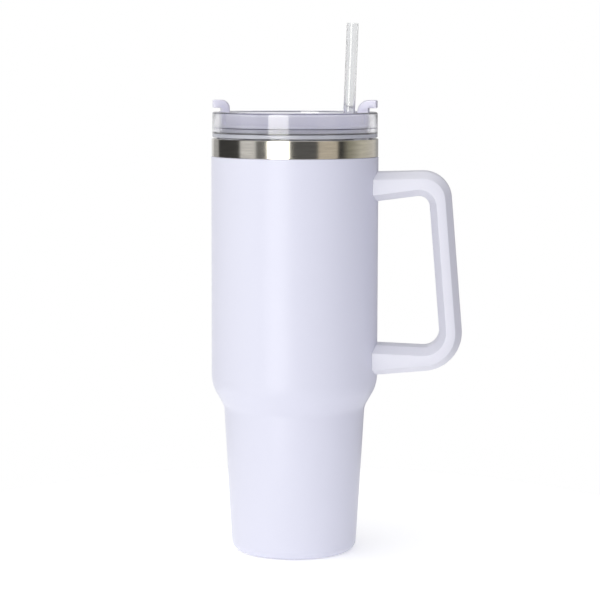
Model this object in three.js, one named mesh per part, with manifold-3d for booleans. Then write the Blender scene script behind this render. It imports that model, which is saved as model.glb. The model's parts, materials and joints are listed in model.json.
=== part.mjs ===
// Insulated tumbler with a rotating lid cover, a side handle and a straw.
// Millimetres, +Z up. The origin is the centre of the base, and the handle stands toward +X.
import * as THREE from 'three';
import { mergeVertices } from 'three/addons/utils/BufferGeometryUtils.js';
import Module from 'manifold-3d';

const wasm = await Module();
wasm.setup();

// Driving dimensions
const GAP = 0.3;               // between pieces that touch on the real tumbler
const ROUND_SIDES = 36;        // sides of every large round piece
const SMALL_SIDES = 16;        // sides of screws, plugs and other small round pieces
const ARC_STEP = 30;           // degrees between points along a rounded corner

const BODY_R = 50;             // coated outer wall
const CONE_TOP_Z = 101.1;      // where the shoulder cone meets the straight wall
const CONE_TOP_ROUND = 22;
const CONE_FOOT_R = 42.5;      // where the cone meets the cup-holder section
const CONE_FOOT_Z = 88.1;
const CONE_FOOT_ROUND = 11.5;
const FOOT_R = 37.4;           // outer radius at the ground, before the edge is rounded
const FOOT_ROUND = 5.5;
const FOOT_RING_R = 30.3;      // inner edge of the ring that stands on the table
const SHELL_TOP_Z = 238.5;
const SHELL_WALL = 0.8;
const LINER_INSET = 3;         // liner's outer face, measured in from the shell's outer face
const LINER_WALL = 0.8;
const LINER_FLOOR_Z = 8.8;
const LINER_FOOT_ROUND = 6;
const COLLAR_R = 49.85;        // bare steel collar around the mouth
const COLLAR_WALL = 0.95;
const MOUTH_ROLL = 1.3;        // depth of the rolled edge between the liner and its collar
const COLLAR_FOOT_Z = SHELL_TOP_Z + GAP;
const MOUTH_Z = 249.2;
const BASE_CAP_THICK = 1;

const VACUUM_BASE_R = 33.4;    // pressed disc under the liner, inside the outer wall
const VACUUM_BASE_Z = 1.4;
const VACUUM_BASE_WALL = 0.8;
const VACUUM_BASE_SKIRT_Z = 5;
const DIMPLE_TOP_Z = 4;
const DIMPLE_R = 6;
const DIMPLE_TOP_R = 4.5;
const DIMPLE_HOLE_R = 1.2;
const BEAD_R = 3;
const BEAD_THICK = 1;
const GETTER_R = 6;
const GETTER_THICK = 2.5;
const GETTER_X = -18;

const LID_R = 50;
const LID_FOOT_Z = MOUTH_Z + GAP;
const LID_TOP_Z = 265;
const LID_BORE_R = 45;         // well that the cover turns in
const LID_FLOOR_Z = 252.4;
const LID_FLOOR_THICK = 2.2;
const PLUG_FOOT_Z = 238;
const PLUG_R = 45.3;
const PLUG_BORE_R = 43.2;
const GROOVE_R = 44.4;
const GROOVE_LOW_Z = 240.3;
const GROOVE_HIGH_Z = 246.3;
const GASKET_LIP_R = 45.85;
const GASKET_LIP = 0.9;        // half the height of one lip at its root

const COVER_R = 43.9;          // flange around the foot, and the outside of the tabs' walls
const COVER_UNDER_Z = 253.4;
const COVER_UNDER_R = 38;      // the underside rises outward from here to the flange's edge
const FLANGE_EDGE_Z = 255.2;
const FLANGE_TOP_Z = 256.8;
const COVER_RING_R = 41.7;     // ring wall that stands on the flange, outside
const COVER_RING_BORE_R = 39.5;
const COVER_LIP_Z = 263;
const COVER_FLOOR_Z = 256;
const COVER_HUB_R = 6.2;       // recess for the O-ring around the post
const SEAL_LOW_Z = 252.7;
const SEAL_THICK = 1.2;
const SEAL_R = 37;
const SEAL_BORE_R = 12;
const SEAL_SEAT = 0.8;         // depth of the seal's seat in the cover's underside
const TAB_HALF_ANGLE = 13;     // degrees each side of the tab's centre line
const TAB_WALL = 3.9;
const TAB_REACH_R = 49.9;
const TAB_UNDER_Z = 267.4;
const TAB_TOP_Z = 272;
const PIVOT_R = 4.1;
const PIVOT_BORE_R = 2.2;
const PIVOT_CAP_R = 8;
const PIVOT_CAP_THICK = 2.2;
const O_RING_BORE_R = 4.4;
const O_RING_THICK = 1.5;

const STRAW_AZIMUTH = 4;       // degrees from the handle to the straw and the nearer tab
const STRAW_TILT = 2;          // degrees outward
const STRAW_R = 3.55;
const STRAW_BORE_R = 2.85;
const STRAW_LENGTH = 308;
const STRAW_HOLE_R = 32.3;     // distance of the straw's axis from the pivot, at this height
const STRAW_HOLE_Z = 264;
const STRAW_FOOT_Z = 10.5;
const BOSS_R = 5.7;
const BOSS_TOP_Z = 261.7;
const GROMMET_R = 5;
const GROMMET_FLANGE_Z = 262;
const GROMMET_TOP_Z = 263.6;

const SIP_AZIMUTH = STRAW_AZIMUTH - 75;  // sip opening, closed until the cover turns by 75 degrees
const SIP_HALF_ANGLE = 15;
const SIP_HALF_WIDTH = 4;
const SLOT_R = 31.9;           // drinking slot through the lid's floor
const SLOT_HALF_WIDTH = 5.5;
const SLOT_START = STRAW_AZIMUTH - 10;
const SLOT_END = STRAW_AZIMUTH + 85;

const HANDLE_WIDTH = 33;
const HANDLE_BEVEL_IN = 4.15;  // chamfer of the grip's section, into its thickness
const HANDLE_BEVEL_WIDE = 8.3; // the same chamfer, across its width
const HANDLE_WALL = 2.4;
const HANDLE_ROOT_X = 45;      // arms run in to here before the body's round is cut out of them
const HANDLE_ROOF = [[50, 229.5], [78, 230.3]];        // outer side: top, back and underside
const HANDLE_BACK = [[94.5, 208.7], [100.8, 134.4]];
const HANDLE_SOLE = [[76, 110.5], [50.8, 108.2]];
const FINGER_FLOOR = [[51, 126.1], [76, 125.1]];       // finger gap: bottom, grip side and top
const FINGER_GRIP = [[86.8, 139.5], [81.1, 207]];
const FINGER_ROOF = [[74.5, 215.7], [51, 212.5]];
const HANDLE_ROOF_R = 17.25;
const HANDLE_SOLE_R = 23.5;
const FINGER_FLOOR_R = 9.5;
const FINGER_ROOF_R = 6.5;

const SCREW_X = 62;
const SCREW_R = 1.65;
const SCREW_HEAD_R = 3.4;
const SCREW_PLUG_R = 3.4;
const SCREW_POCKET_R = 3.7;
const SCREW_CLEAR_R = 1.95;
const SCREW_BOSS_R = 5.4;
const SCREW_LENGTH = 7.6;
const BRACKET_WIDTH = 13;
const BRACKET_THICK = 2.5;
const BRACKET_ROOT_X = 46;     // plate and tongue run in to here before the body is cut out
const BRACKET_PLATE_X = 52.8;
const BRACKET_TONGUE_X = 69;

// Heights above the finger-side surface of an arm, going into the arm
const PLUG_HEIGHTS = [0.2, 1.3];
const HEAD_HEIGHTS = [1.6, 3.2];
const POCKET_DEPTH = 3.5;
const BOSS_HEIGHT = 4.9;
const TONGUE_HEIGHTS = [BOSS_HEIGHT + GAP, BOSS_HEIGHT + GAP + BRACKET_THICK];

// Each arm's fixing: `surface` is the height of the arm's finger side at the screw,
// and `into` is +1 where the arm lies above that surface and -1 where it lies below.
const ROOTS = [
  { name: 'upper', surface: 214, into: 1, plateRise: 4.5 },
  { name: 'lower', surface: 125.6, into: -1, plateRise: 4 },
];

// Finishes
const finish = (color, roughness, metalness) => ({ color, roughness, metalness });
const LAVENDER = finish(0xd9d9ec, 0.6, 0.1);
const LAVENDER_PLASTIC = finish(0xd4d4e8, 0.45, 0);
const STEEL = finish(0xa9a6a0, 0.35, 1);
const CLEAR = finish(0xeef2f6, 0.08, 0);
const SILICONE = finish(0xe4e4ec, 0.7, 0);

const radians = THREE.MathUtils.degToRad;

// ---- Solids -------------------------------------------------------------------------------

// A closed mesh from a geometry, with the triangles that collapsed on a revolve's axis left out.
function toSolid(geometry) {
  const bare = geometry.clone().deleteAttribute('normal').deleteAttribute('uv');
  const merged = mergeVertices(bare, 1e-4);
  const triVerts = [];
  for (let i = 0; i < merged.index.count; i += 3) {
    const [a, b, c] = [0, 1, 2].map((k) => merged.index.getX(i + k));
    if (a !== b && b !== c && c !== a) triVerts.push(a, b, c);
  }
  return new wasm.Manifold(new wasm.Mesh({
    numProp: 3,
    vertProperties: merged.attributes.position.array,
    triVerts: new Uint32Array(triVerts),
  }));
}

function toGeometry(solid) {
  const { vertProperties, triVerts } = solid.getMesh();
  const geometry = new THREE.BufferGeometry();
  geometry.setAttribute('position', new THREE.BufferAttribute(vertProperties, 3));
  geometry.setIndex(new THREE.BufferAttribute(triVerts, 1));
  return geometry;
}

// Solid of a closed [radius, height] profile turned about Z.
// The profile runs out along the bottom, up the outside and back in over the top.
function revolve(profile, sides = ROUND_SIDES) {
  const points = profile.map(([r, z]) => new THREE.Vector2(r, z));
  const [first, last] = [points[0], points[points.length - 1]];
  if (first.x > 0 || last.x > 0) points.push(first.clone());
  return toSolid(new THREE.LatheGeometry(points, sides).rotateX(Math.PI / 2));
}

// Solid cylinder about the vertical line through (x, y), from z0 to z1.
function rod(radius, z0, z1, x = 0, y = 0, sides = SMALL_SIDES) {
  return revolve([[0, z0], [radius, z0], [radius, z1], [0, z1]], sides).translate([x, y, 0]);
}

// Corners given as [x, y, radius]: the outline with each corner rounded by its radius.
function rounded(corners) {
  return corners.flatMap(([x, y, radius = 0], i) => {
    if (radius === 0) return [[x, y]];
    const corner = new THREE.Vector2(x, y);
    const before = corners[i - 1];
    const after = corners[(i + 1) % corners.length];
    const back = new THREE.Vector2(before[0], before[1]).sub(corner).normalize();
    const ahead = new THREE.Vector2(after[0], after[1]).sub(corner).normalize();
    const half = back.angleTo(ahead) / 2;
    const reach = radius / Math.tan(half);
    const centre = back.clone().add(ahead).setLength(radius / Math.sin(half)).add(corner);
    const start = back.clone().multiplyScalar(reach).add(corner).sub(centre);
    const sweep = Math.sign(back.cross(start)) * (Math.PI - 2 * half);
    const steps = Math.max(1, Math.ceil(THREE.MathUtils.radToDeg(Math.abs(sweep)) / ARC_STEP));
    return Array.from({ length: steps + 1 }, (_, k) => {
      const spoke = start.clone().rotateAround(new THREE.Vector2(), (sweep * k) / steps).add(centre);
      return [spoke.x, spoke.y];
    });
  });
}

function shapeOf(points) {
  return new THREE.Shape(points.map(([x, y]) => new THREE.Vector2(x, y)));
}

// Upright prism of an outline in X and Y.
function prism(points, z0, z1) {
  const settings = { depth: z1 - z0, bevelEnabled: false };
  return toSolid(new THREE.ExtrudeGeometry(shapeOf(points), settings)).translate([0, 0, z0]);
}

// Solid of an outline in X and Z, centred on Y, with its two side edges chamfered outward.
function sideSlab(points, width, bevelIn = 0, bevelWide = 0) {
  const depth = width - 2 * bevelWide;
  const geometry = new THREE.ExtrudeGeometry(shapeOf(points), {
    depth,
    bevelEnabled: bevelIn > 0,
    bevelSize: bevelIn,
    bevelThickness: bevelWide,
    bevelSegments: 1,
  });
  return toSolid(geometry.translate(0, 0, -depth / 2).rotateX(Math.PI / 2));
}

// Outline of a slot that follows a circle about Z, with round ends. Angles are in degrees.
function curvedSlot(radius, halfWidth, start, end) {
  const arc = (cx, cy, r, from, to, steps) => Array.from({ length: steps + 1 }, (_, k) => {
    const angle = radians(from + ((to - from) * k) / steps);
    return [cx + r * Math.cos(angle), cy + r * Math.sin(angle)];
  });
  const at = (angle) => [radius * Math.cos(radians(angle)), radius * Math.sin(radians(angle))];
  const steps = Math.ceil((end - start) / 10);
  return [
    ...arc(0, 0, radius + halfWidth, start, end, steps),
    ...arc(...at(end), halfWidth, end, end + 180, 8).slice(1),
    ...arc(0, 0, radius - halfWidth, end, start, steps).slice(1),
    ...arc(...at(start), halfWidth, start + 180, start + 360, 8).slice(1, -1),
  ];
}

function mesh(name, shape, look) {
  const geometry = shape.isBufferGeometry ? shape : toGeometry(shape);
  const material = new THREE.MeshStandardMaterial(look);
  const piece = new THREE.Mesh(geometry, material);
  piece.name = name;
  return piece;
}

// ---- Cup ----------------------------------------------------------------------------------

// The double wall's shared curve from the foot up to topZ, moved in by `inset`.
function wallCurve(inset, footZ, footRound, topZ) {
  const lean = (CONE_FOOT_R - FOOT_R) / CONE_FOOT_Z;
  return [
    [FOOT_R + lean * footZ - inset, footZ, footRound],
    [CONE_FOOT_R - inset, CONE_FOOT_Z, CONE_FOOT_ROUND],
    [BODY_R - inset, CONE_TOP_Z, CONE_TOP_ROUND],
    [BODY_R - inset, topZ],
  ];
}

function outerShell() {
  return revolve(rounded([
    [FOOT_RING_R, 0],
    ...wallCurve(0, 0, FOOT_ROUND, SHELL_TOP_Z),
    ...wallCurve(SHELL_WALL, SHELL_WALL, FOOT_ROUND - SHELL_WALL, SHELL_TOP_Z).reverse(),
    [FOOT_RING_R, SHELL_WALL],
  ]));
}

// Inner cup, whose mouth rolls outward and down into the bare collar.
function innerLiner() {
  const under = LINER_FLOOR_Z - LINER_WALL;
  const outside = wallCurve(LINER_INSET, under, LINER_FOOT_ROUND, MOUTH_Z - MOUTH_ROLL);
  const inside = wallCurve(LINER_INSET + LINER_WALL, LINER_FLOOR_Z, LINER_FOOT_ROUND, MOUTH_Z);
  const collarIn = COLLAR_R - COLLAR_WALL;
  const edgeRound = 1.1;
  inside[inside.length - 1].push(edgeRound);
  return revolve(rounded([
    [0, under],
    ...outside,
    [collarIn, MOUTH_Z - MOUTH_ROLL],
    [collarIn, COLLAR_FOOT_Z],
    [COLLAR_R, COLLAR_FOOT_Z],
    [COLLAR_R, MOUTH_Z, edgeRound],
    ...inside.reverse(),
    [0, LINER_FLOOR_Z],
  ]));
}

// Pressed disc that closes the vacuum space, with a dimple whose hole is sealed by a bead.
function vacuumBase() {
  const floor = VACUUM_BASE_Z + VACUUM_BASE_WALL;
  const dimpleUnder = DIMPLE_TOP_Z - VACUUM_BASE_WALL;
  const skirtIn = VACUUM_BASE_R - VACUUM_BASE_WALL;
  const lean = 0.5;
  return revolve([
    [DIMPLE_HOLE_R, dimpleUnder], [DIMPLE_TOP_R, dimpleUnder], [DIMPLE_R, VACUUM_BASE_Z],
    [VACUUM_BASE_R, VACUUM_BASE_Z], [VACUUM_BASE_R, VACUUM_BASE_SKIRT_Z],
    [skirtIn, VACUUM_BASE_SKIRT_Z], [skirtIn, floor],
    [DIMPLE_R + lean, floor], [DIMPLE_TOP_R + lean, DIMPLE_TOP_Z], [DIMPLE_HOLE_R, DIMPLE_TOP_Z],
  ]);
}

const vacuumSealBead = () => rod(BEAD_R, DIMPLE_TOP_Z + GAP, DIMPLE_TOP_Z + GAP + BEAD_THICK);

function getterCapsule() {
  const low = VACUUM_BASE_Z + VACUUM_BASE_WALL + GAP;
  return rod(GETTER_R, low, low + GETTER_THICK, GETTER_X);
}

const baseCap = () => rod(FOOT_RING_R - GAP, 0, BASE_CAP_THICK, 0, 0, ROUND_SIDES);

// ---- Handle -------------------------------------------------------------------------------

// A line through two points, moved by `shift` toward its left.
function moved([[x0, z0], [x1, z1]], shift) {
  const length = Math.hypot(x1 - x0, z1 - z0);
  const [dx, dz] = [(-(z1 - z0) / length) * shift, ((x1 - x0) / length) * shift];
  return [[x0 + dx, z0 + dz], [x1 + dx, z1 + dz]];
}

function crossing([[ax, az], [bx, bz]], [[cx, cz], [dx, dz]]) {
  const [ux, uz, vx, vz] = [bx - ax, bz - az, dx - cx, dz - cz];
  const along = ((cx - ax) * vz - (cz - az) * vx) / (ux * vz - uz * vx);
  return [ax + along * ux, az + along * uz];
}

const ROOT_LINE = [[HANDLE_ROOT_X, 0], [HANDLE_ROOT_X, 1]];

// Side outline of the handle, with its skin moved in by `inset`.
function handleOutline(inset) {
  const [roof, back, sole] = [HANDLE_ROOF, HANDLE_BACK, HANDLE_SOLE].map((l) => moved(l, -inset));
  return rounded([
    crossing(ROOT_LINE, roof),
    [...crossing(roof, back), HANDLE_ROOF_R - inset],
    [...crossing(back, sole), HANDLE_SOLE_R - inset],
    crossing(sole, ROOT_LINE),
    ...fingerOutline(inset),
  ]);
}

// Side outline of the finger gap, moved out into the handle by `inset`.
function fingerOutline(inset) {
  const [floor, grip, roof] = [FINGER_FLOOR, FINGER_GRIP, FINGER_ROOF].map((l) => moved(l, -inset));
  return [
    crossing(ROOT_LINE, floor),
    [...crossing(floor, grip), FINGER_FLOOR_R + inset],
    [...crossing(grip, roof), FINGER_ROOF_R + inset],
    crossing(roof, ROOT_LINE),
  ];
}

const bodyRound = () => rod(BODY_R + GAP, 60, 260, 0, 0, ROUND_SIDES);

// Both halves together: an eight-sided tube, open at the arms' ends.
function hollowHandle() {
  const bevelIn = HANDLE_BEVEL_IN - 0.55;
  const bevelWide = HANDLE_BEVEL_WIDE - 1.1;
  const skin = handleOutline(HANDLE_BEVEL_IN);
  const core = handleOutline(HANDLE_WALL + bevelIn);
  return sideSlab(skin, HANDLE_WIDTH, HANDLE_BEVEL_IN, HANDLE_BEVEL_WIDE)
    .subtract(sideSlab(core, HANDLE_WIDTH - 2 * HANDLE_WALL, bevelIn, bevelWide))
    .subtract(bodyRound());
}

// Everything on the finger side of the seam, which is moved by `offset`.
function fingerSide(offset) {
  return sideSlab(rounded(fingerOutline(HANDLE_BEVEL_IN + offset)), HANDLE_WIDTH + 10);
}

// Heights above an arm's finger side as heights above the table, the lower one first.
function climb({ surface, into }, heights) {
  return heights.map((height) => surface + into * height).sort((a, b) => a - b);
}

function innerCover() {
  const cut = ROOTS.map((root) => rod(SCREW_POCKET_R, ...climb(root, [-5, POCKET_DEPTH]), SCREW_X)
    .add(rod(SCREW_CLEAR_R, ...climb(root, [0, BOSS_HEIGHT + 1]), SCREW_X)));
  const bosses = ROOTS.map((root) => rod(SCREW_BOSS_R, ...climb(root, [1, BOSS_HEIGHT]), SCREW_X));
  const half = hollowHandle().intersect(fingerSide(-GAP / 2));
  return half.add(bosses[0]).add(bosses[1]).subtract(cut[0]).subtract(cut[1]);
}

const handleShell = () => hollowHandle().subtract(fingerSide(GAP / 2));

// Steel bracket welded to the body: a plate on the wall and a tongue into the arm.
function bracket(root) {
  const [low, high] = climb(root, TONGUE_HEIGHTS);
  const plateEnds = climb(root, [TONGUE_HEIGHTS[0], TONGUE_HEIGHTS[1] + root.plateRise]);
  const strip = (end, z0, z1) => sideSlab(
    [[BRACKET_ROOT_X, z0], [end, z0], [end, z1], [BRACKET_ROOT_X, z1]],
    BRACKET_WIDTH,
  );
  return strip(BRACKET_PLATE_X, ...plateEnds)
    .add(strip(BRACKET_TONGUE_X, low, high))
    .subtract(bodyRound())
    .subtract(rod(SCREW_CLEAR_R, low - 1, high + 1, SCREW_X));
}

function screw(root) {
  const head = rod(SCREW_HEAD_R, ...climb(root, HEAD_HEIGHTS), SCREW_X);
  const ends = climb(root, [HEAD_HEIGHTS[0] + 1, HEAD_HEIGHTS[0] + SCREW_LENGTH]);
  return head.add(rod(SCREW_R, ...ends, SCREW_X));
}

const screwPlug = (root) => rod(SCREW_PLUG_R, ...climb(root, PLUG_HEIGHTS), SCREW_X);

// ---- Lid ----------------------------------------------------------------------------------

// Clear lid: a plug in the mouth, a floor, and a rim around the well that the cover turns in.
function lidBase() {
  const body = revolve(rounded([
    [0, LID_FLOOR_Z - LID_FLOOR_THICK],
    [PLUG_BORE_R, LID_FLOOR_Z - LID_FLOOR_THICK],
    [PLUG_BORE_R, PLUG_FOOT_Z], [PLUG_R, PLUG_FOOT_Z],
    [PLUG_R, GROOVE_LOW_Z], [GROOVE_R, GROOVE_LOW_Z],
    [GROOVE_R, GROOVE_HIGH_Z], [PLUG_R, GROOVE_HIGH_Z],
    [PLUG_R, LID_FOOT_Z], [LID_R, LID_FOOT_Z],
    [LID_R, LID_TOP_Z, 1.2], [LID_BORE_R, LID_TOP_Z, 1.2],
    [LID_BORE_R, LID_FLOOR_Z], [PIVOT_R, LID_FLOOR_Z],
    [PIVOT_R, COVER_FLOOR_Z], [PIVOT_BORE_R, COVER_FLOOR_Z],
    [PIVOT_BORE_R, LID_FLOOR_Z - 1], [0, LID_FLOOR_Z - 1],
  ]));
  const slot = curvedSlot(SLOT_R, SLOT_HALF_WIDTH, SLOT_START, SLOT_END);
  return body.subtract(prism(slot, LID_FLOOR_Z - 5, LID_FLOOR_Z + 1));
}

// Two-lipped seal in the plug's groove.
function lidGasket() {
  const inner = GROOVE_R + 0.25;
  const [low, high] = [GROOVE_LOW_Z + GAP, GROOVE_HIGH_Z - GAP];
  return revolve([
    [inner, low], [PLUG_R, low], [GASKET_LIP_R, low + GASKET_LIP], [PLUG_R, low + 2 * GASKET_LIP],
    [PLUG_R, high - 2 * GASKET_LIP], [GASKET_LIP_R, high - GASKET_LIP], [PLUG_R, high], [inner, high],
  ]);
}

function pivotCap() {
  const under = COVER_FLOOR_Z + GAP;
  const top = under + PIVOT_CAP_THICK;
  return revolve(rounded([
    [0, LID_FLOOR_Z], [PIVOT_BORE_R - GAP, LID_FLOOR_Z], [PIVOT_BORE_R - GAP, under],
    [PIVOT_CAP_R, under], [PIVOT_CAP_R, top, 1], [0, top],
  ]), SMALL_SIDES);
}

function pivotORing() {
  const low = LID_FLOOR_Z + GAP;
  const high = low + O_RING_THICK;
  const outer = O_RING_BORE_R + O_RING_THICK;
  return revolve([[O_RING_BORE_R, low], [outer, low], [outer, high], [O_RING_BORE_R, high]], SMALL_SIDES);
}

// ---- Cover --------------------------------------------------------------------------------

// Work done in the straw's own upright frame, then leaned out to the straw's real place.
function leaned(solid) {
  return solid
    .translate([0, 0, -STRAW_HOLE_Z])
    .rotate([0, STRAW_TILT, 0])
    .translate([STRAW_HOLE_R, 0, STRAW_HOLE_Z])
    .rotate([0, 0, STRAW_AZIMUTH]);
}

// The two tabs that stand on the cover's flange and curl out over the lid's rim.
function tabs() {
  const inner = COVER_R - TAB_WALL;
  const root = COVER_RING_R - 1;
  const crisp = 0.6;
  const ring = revolve(rounded([
    [root, FLANGE_TOP_Z - 1], [COVER_R, FLANGE_TOP_Z - 1], [COVER_R, TAB_UNDER_Z, crisp],
    [TAB_REACH_R, TAB_UNDER_Z, crisp], [TAB_REACH_R, TAB_TOP_Z, crisp],
    [inner, TAB_TOP_Z, 5], [inner, COVER_LIP_Z - 1], [root, COVER_LIP_Z - 1],
  ]));
  const reach = 60;
  const spread = reach * Math.tan(radians(TAB_HALF_ANGLE));
  const wedge = [[0, 0], [reach, -spread], [reach, spread]];
  const opposite = wedge.map(([x, y]) => [-x, -y]);
  const wedges = prism(wedge, 250, 280).add(prism(opposite, 250, 280));
  return ring.intersect(wedges.rotate([0, 0, STRAW_AZIMUTH]));
}

function rotatingCover() {
  const hubTop = COVER_UNDER_Z + 1;
  const seat = COVER_UNDER_Z + SEAL_SEAT;
  const dish = revolve(rounded([
    [PIVOT_R + GAP, hubTop], [COVER_HUB_R, hubTop], [COVER_HUB_R, COVER_UNDER_Z],
    [SEAL_BORE_R - GAP, COVER_UNDER_Z], [SEAL_BORE_R - GAP, seat],
    [SEAL_R + GAP, seat], [SEAL_R + GAP, COVER_UNDER_Z], [COVER_UNDER_R, COVER_UNDER_Z],
    [COVER_R, FLANGE_EDGE_Z], [COVER_R, FLANGE_TOP_Z], [COVER_RING_R, FLANGE_TOP_Z],
    [COVER_RING_R, COVER_LIP_Z, 0.8], [COVER_RING_BORE_R, COVER_LIP_Z, 0.8],
    [COVER_RING_BORE_R, COVER_FLOOR_Z, 2],
    [PIVOT_R + GAP, COVER_FLOOR_Z],
  ]));
  const boss = rod(BOSS_R, COVER_FLOOR_Z - 1, BOSS_TOP_Z, STRAW_HOLE_R).rotate([0, 0, STRAW_AZIMUTH]);
  return dish.add(boss).add(tabs()).subtract(strawHole()).subtract(sipHole());
}

const strawHole = () => leaned(rod(GROMMET_R + GAP, 245, GROMMET_FLANGE_Z + 1));

function sipHole() {
  const [start, end] = [SIP_AZIMUTH - SIP_HALF_ANGLE, SIP_AZIMUTH + SIP_HALF_ANGLE];
  return prism(curvedSlot(STRAW_HOLE_R, SIP_HALF_WIDTH, start, end), COVER_UNDER_Z - 3, COVER_FLOOR_Z + 3);
}

// Flat silicone ring under the cover, pierced where the cover is.
function coverUnderseal() {
  const high = SEAL_LOW_Z + SEAL_THICK;
  return revolve([[SEAL_BORE_R, SEAL_LOW_Z], [SEAL_R, SEAL_LOW_Z], [SEAL_R, high], [SEAL_BORE_R, high]])
    .subtract(strawHole())
    .subtract(sipHole());
}

// Flanged silicone sleeve that grips the straw.
function strawGrommet() {
  const bore = STRAW_R + GAP;
  return leaned(revolve([
    [bore, COVER_UNDER_Z + 1], [GROMMET_R, COVER_UNDER_Z + 1], [GROMMET_R, GROMMET_FLANGE_Z],
    [BOSS_R, GROMMET_FLANGE_Z], [BOSS_R, GROMMET_TOP_Z], [bore, GROMMET_TOP_Z],
  ], SMALL_SIDES));
}

function straw() {
  const top = STRAW_FOOT_Z + STRAW_LENGTH;
  return leaned(revolve(rounded([
    [STRAW_BORE_R, STRAW_FOOT_Z], [STRAW_R, STRAW_FOOT_Z], [STRAW_R, top], [STRAW_BORE_R, top],
  ]), SMALL_SIDES));
}

// ---- Assembly -----------------------------------------------------------------------------

const cup = new THREE.Group();
cup.add(
  mesh('outer_shell', outerShell(), LAVENDER),
  mesh('inner_liner', innerLiner(), STEEL),
  mesh('vacuum_base', vacuumBase(), STEEL),
  mesh('vacuum_seal_bead', vacuumSealBead(), STEEL),
  mesh('getter_capsule', getterCapsule(), STEEL),
  mesh('base_cap', baseCap(), STEEL),
  mesh('handle_shell', handleShell(), LAVENDER_PLASTIC),
  mesh('handle_inner_cover', innerCover(), LAVENDER_PLASTIC),
);
for (const root of ROOTS) {
  cup.add(
    mesh(`handle_bracket_${root.name}`, bracket(root), STEEL),
    mesh(`handle_screw_${root.name}`, screw(root), STEEL),
    mesh(`screw_plug_${root.name}`, screwPlug(root), LAVENDER_PLASTIC),
  );
}

const lid = new THREE.Group();
lid.add(
  mesh('lid_base', lidBase(), CLEAR),
  mesh('lid_gasket', lidGasket(), SILICONE),
  mesh('pivot_cap', pivotCap(), LAVENDER_PLASTIC),
  mesh('pivot_o_ring', pivotORing(), SILICONE),
);

const cover = new THREE.Group();
cover.add(
  mesh('rotating_cover', rotatingCover(), LAVENDER_PLASTIC),
  mesh('cover_underseal', coverUnderseal(), SILICONE),
  mesh('straw_grommet', strawGrommet(), SILICONE),
);

const tumbler = new THREE.Group();
tumbler.add(cup, lid, cover, mesh('straw', straw(), CLEAR));

export default tumbler;
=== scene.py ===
"""An insulated tumbler with a rotating lid cover, a side handle and a clear straw.

Lengths are in millimetres up to the moment a mesh is made, which is in metres. Round pieces are
profiles turned about the cup's axis, and the handle is a moulding of eight-sided section.
"""

import json
import math

import bpy
import numpy as np
from mathutils import Matrix, Vector


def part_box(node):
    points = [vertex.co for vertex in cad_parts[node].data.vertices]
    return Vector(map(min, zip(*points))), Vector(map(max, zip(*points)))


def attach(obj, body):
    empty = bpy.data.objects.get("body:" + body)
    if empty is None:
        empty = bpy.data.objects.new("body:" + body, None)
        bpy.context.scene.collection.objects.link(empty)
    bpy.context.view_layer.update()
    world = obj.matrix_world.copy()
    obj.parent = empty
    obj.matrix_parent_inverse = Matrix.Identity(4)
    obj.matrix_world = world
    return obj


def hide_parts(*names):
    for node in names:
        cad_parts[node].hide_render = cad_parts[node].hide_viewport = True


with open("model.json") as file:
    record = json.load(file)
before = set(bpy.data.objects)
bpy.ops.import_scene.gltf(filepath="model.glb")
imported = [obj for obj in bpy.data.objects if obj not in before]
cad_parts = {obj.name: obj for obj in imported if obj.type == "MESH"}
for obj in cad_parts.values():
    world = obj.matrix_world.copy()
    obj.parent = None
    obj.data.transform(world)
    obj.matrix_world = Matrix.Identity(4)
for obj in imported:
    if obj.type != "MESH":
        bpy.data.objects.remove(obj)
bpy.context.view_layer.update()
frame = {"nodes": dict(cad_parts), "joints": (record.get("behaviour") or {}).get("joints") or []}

MM = 0.001
TURN = 2 * math.pi


# ---- Places, read from the frame ---------------------------------------------------------------


class Extent:
    """A CAD node's box in millimetres: its lowest and highest corners and its largest radius."""

    def __init__(self, node):
        low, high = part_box(node)
        self.low = low / MM
        self.high = high / MM
        self.bottom = self.low.z
        self.top = self.high.z
        self.radius = max(self.high.x, -self.low.x)


shell = Extent("outer_shell")
liner = Extent("inner_liner")
cap = Extent("base_cap")
lid = Extent("lid_base")
cover = Extent("rotating_cover")
grip = Extent("handle_shell")
knob = Extent("pivot_cap")

joints = {joint["name"]: joint for joint in frame["joints"]}
straw_axis = Vector(joints["straw_slide"]["axis"]).normalized()
straw_azimuth = math.atan2(straw_axis.y, straw_axis.x)

# Profile of the double wall, as the distance from the axis, the height and the corner's rounding
SHOULDER = (shell.radius, 101.1, 22)
WAIST = (42.5, 88.1, 11.5)
FOOT = (37.4, 0, 5.5)
FOOT_RING = cap.radius + 0.3
SHEET = 0.8
LINER_BORE = shell.radius - 3.8
LINER_FLOOR = 8.8
LINER_ROUND = 6
MOUTH_ROLL = 1.3
COLLAR_FOOT = shell.top + 0.1
COLLAR_WALL = 0.95
CAP_THICK = 1

# Lid. GROOVE is a radius and two heights, POST_RING two radii and a height, DIMPLE two radii and a
# depth, and a painted shade line in the wall a height and half its width
LID_OUT = 49.4
LID_FOOT = 250
SKIRT_TOP = 252.2
LID_BORE = 45
LID_FLOOR = 252.4
LID_UNDER = LID_FLOOR - 2.2
# Painted shade: dark lines in the clear wall's colour, standing in for refraction shade below the rim's
# top edge and at the cover's flange edge
RIM_SHADE_LINE = (lid.top - 0.7, 0.24)
FLANGE_SHADE_LINE = (255.6, 0.16)
PLUG = 45.3
PLUG_BORE = 43.2
GROOVE = (44.4, 240.3, 246.3)
PLUG_FOOT = GROOVE[1] - 2.3
GASKET_LIP = 45.85
POST = 4.1
POST_BORE = 2.2
POST_RING = (4.4, 5.9, 1.4)
STEM = 1.9
DIMPLE = (5.2, 4.4, 0.5)
SLOT_PATH = 31.9
SLOT_HALF_WIDTH = 5.5

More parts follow.
